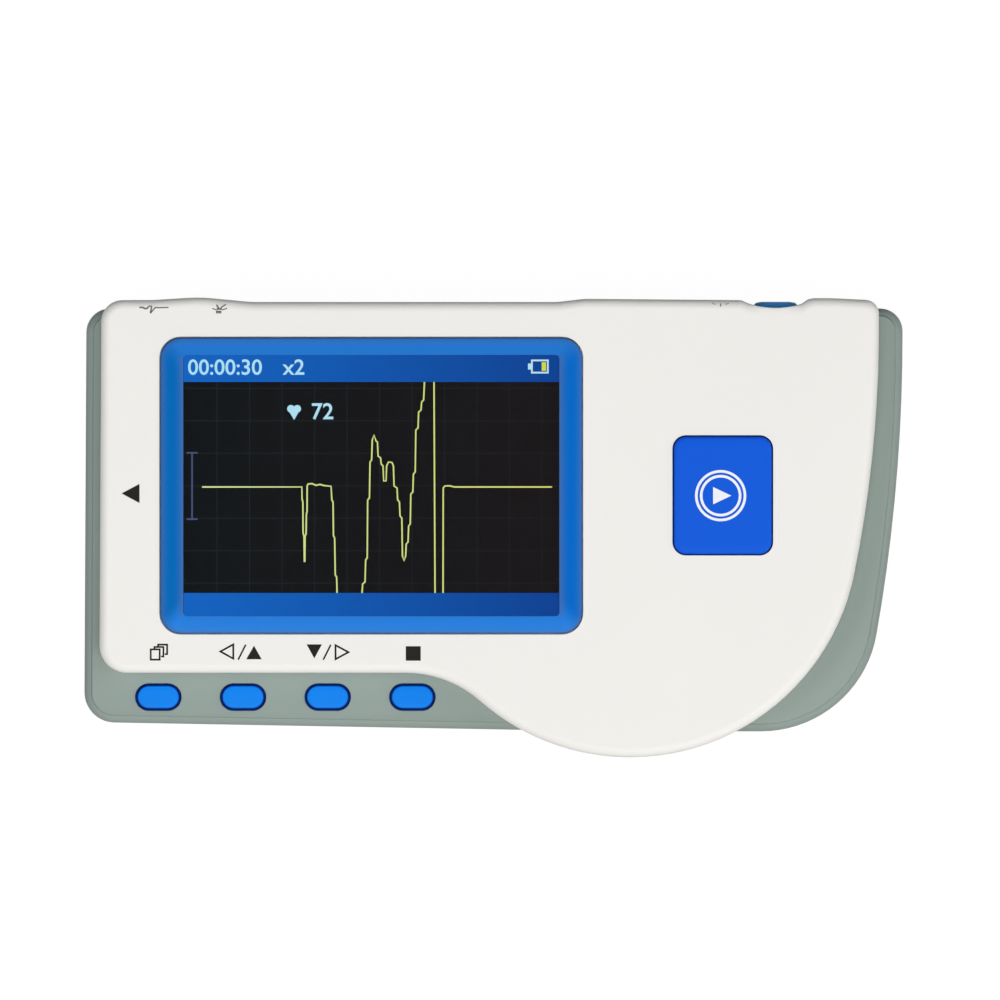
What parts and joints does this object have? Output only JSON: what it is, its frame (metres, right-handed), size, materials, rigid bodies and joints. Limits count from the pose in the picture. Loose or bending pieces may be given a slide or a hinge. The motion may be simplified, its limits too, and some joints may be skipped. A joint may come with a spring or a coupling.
{
  "type": "ecg home monitor",
  "caption": "Hand-held heart monitor: two-part housing with a screen, menu keys, a start button, a power key, electrodes and a sliding battery door.",
  "frame": {"origin": "under the middle of the housing, on the surface its back rests on", "axes": "+Z out of the front face, +X along the housing to the right as the screen is read, +Y towards the top side with the power key"},
  "size_m": [0.13, 0.073, 0.024],
  "materials": {
    "white_shell": "fine satin moulding",
    "grey_shell": "satin moulding, sage grey",
    "frame_blue": "glossy moulding",
    "clear_window": "clear acrylic",
    "foam": "closed foam",
    "display": "display glass",
    "flat_cable": "polyimide film",
    "board": "solder mask over glass fibre",
    "chip": "moulded black resin",
    "steel": "plated steel",
    "electrode": "polished stainless steel",
    "gold": "gold plated pins",
    "key_blue": "satin moulded keys",
    "start_blue": "satin moulded button",
    "battery": "plain printed sleeve"
  },
  "bodies": {
    "housing": {"front_shell": "white_shell", "rear_shell": "grey_shell", "screen_bezel": "frame_blue", "screen_window": "clear_window", "screen_gasket": "foam", "lcd_glass": "display", "lcd_tray": "white_shell", "display_cable": "flat_cable", "main_board": "board", "board_chips": "chip", "board_screws": "steel", "key_board": "board", "key_switches": "steel", "key_cable": "flat_cable", "start_switch": "chip", "power_switch": "chip", "lead_socket": "steel", "buzzer": "chip", "chest_electrode": "electrode", "palm_electrode": "electrode", "finger_electrode": "electrode", "electrode_pins": "gold", "upper_battery": "battery", "lower_battery": "battery", "battery_springs": "steel", "battery_plates": "steel", "case_screws": "steel"},
    "menu_key": {"menu_key": "key_blue"},
    "left_up_key": {"left_up_key": "key_blue"},
    "down_right_key": {"down_right_key": "key_blue"},
    "stop_key": {"stop_key": "key_blue"},
    "start_button": {"start_button": "start_blue"},
    "power_button": {"power_button": "key_blue"},
    "battery_door": {"battery_door": "grey_shell"}
  },
  "joints": [
    {"name": "menu_key_press", "type": "slide", "parent": "housing", "child": "menu_key", "axis": [0, 0, -1], "range_m": [0, 0.0005], "stiffness_N_per_m": 1000},
    {"name": "left_up_key_press", "type": "slide", "parent": "housing", "child": "left_up_key", "axis": [0, 0, -1], "range_m": [0, 0.0005], "stiffness_N_per_m": 1000},
    {"name": "down_right_key_press", "type": "slide", "parent": "housing", "child": "down_right_key", "axis": [0, 0, -1], "range_m": [0, 0.0005], "stiffness_N_per_m": 1000},
    {"name": "stop_key_press", "type": "slide", "parent": "housing", "child": "stop_key", "axis": [0, 0, -1], "range_m": [0, 0.0005], "stiffness_N_per_m": 1000},
    {"name": "start_press", "type": "slide", "parent": "housing", "child": "start_button", "axis": [0, 0, -1], "range_m": [0, 0.0006], "stiffness_N_per_m": 1500},
    {"name": "power_press", "type": "slide", "parent": "housing", "child": "power_button", "axis": [0, -1, 0], "range_m": [0, 0.0005], "stiffness_N_per_m": 1000},
    {"name": "door_slide", "type": "slide", "parent": "housing", "child": "battery_door", "axis": [-1, 0, 0], "range_m": [0, 0.05]}
  ]
}
